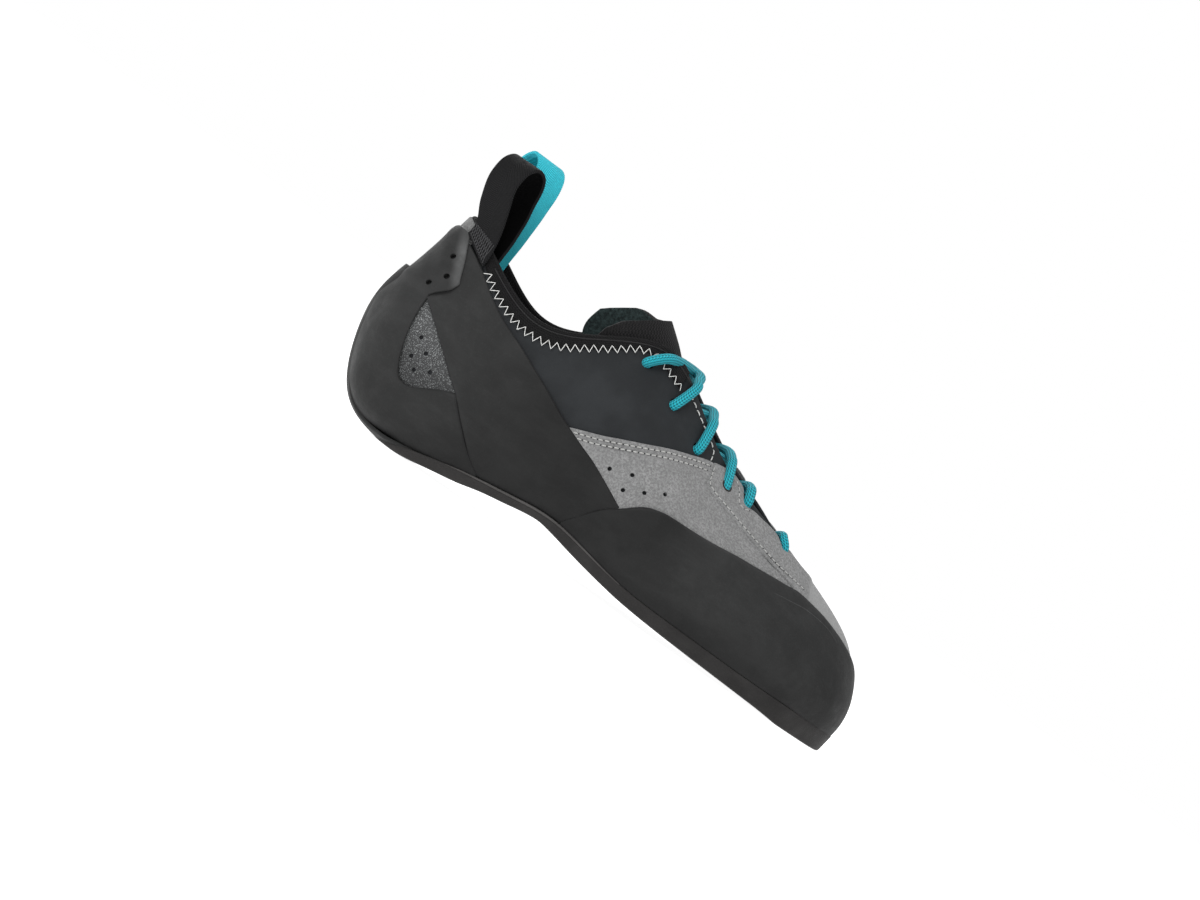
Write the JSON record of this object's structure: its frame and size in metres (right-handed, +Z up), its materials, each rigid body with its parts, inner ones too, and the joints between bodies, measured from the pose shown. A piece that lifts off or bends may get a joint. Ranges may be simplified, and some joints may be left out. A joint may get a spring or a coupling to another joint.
{
  "type": "climbing shoe",
  "caption": "Low-cut lace-up climbing shoe with a rubber toe rand and heel cap, suede vamp, arched sole, mesh tongue and webbing pull loops.",
  "frame": {"origin": "on the ground plane under the middle of the shoe", "axes": "+X from heel to toe, +Y to the medial (big toe) side, +Z up"},
  "size_m": [0.2504, 0.0988, 0.1299],
  "materials": {
    "outsole": "satin",
    "insole": "matt",
    "upper": "matt",
    "tongue": "matt",
    "toe_rand": "satin",
    "heel_cap": "satin",
    "tension_band_lateral": "satin",
    "tension_band_medial": "satin",
    "vamp_lateral": "suede",
    "vamp_medial": "suede",
    "eyestay": "suede",
    "lace": "woven",
    "pull_loop_lateral": "woven",
    "pull_loop_medial": "woven"
  },
  "bodies": {
    "root": {"outsole": "outsole", "insole": "insole", "upper": "upper", "tongue": "tongue", "toe_rand": "toe_rand", "heel_cap": "heel_cap", "tension_band_lateral": "tension_band_lateral", "tension_band_medial": "tension_band_medial", "vamp_lateral": "vamp_lateral", "vamp_medial": "vamp_medial", "eyestay": "eyestay", "lace": "lace", "pull_loop_lateral": "pull_loop_lateral", "pull_loop_medial": "pull_loop_medial"}
  },
  "joints": []
}
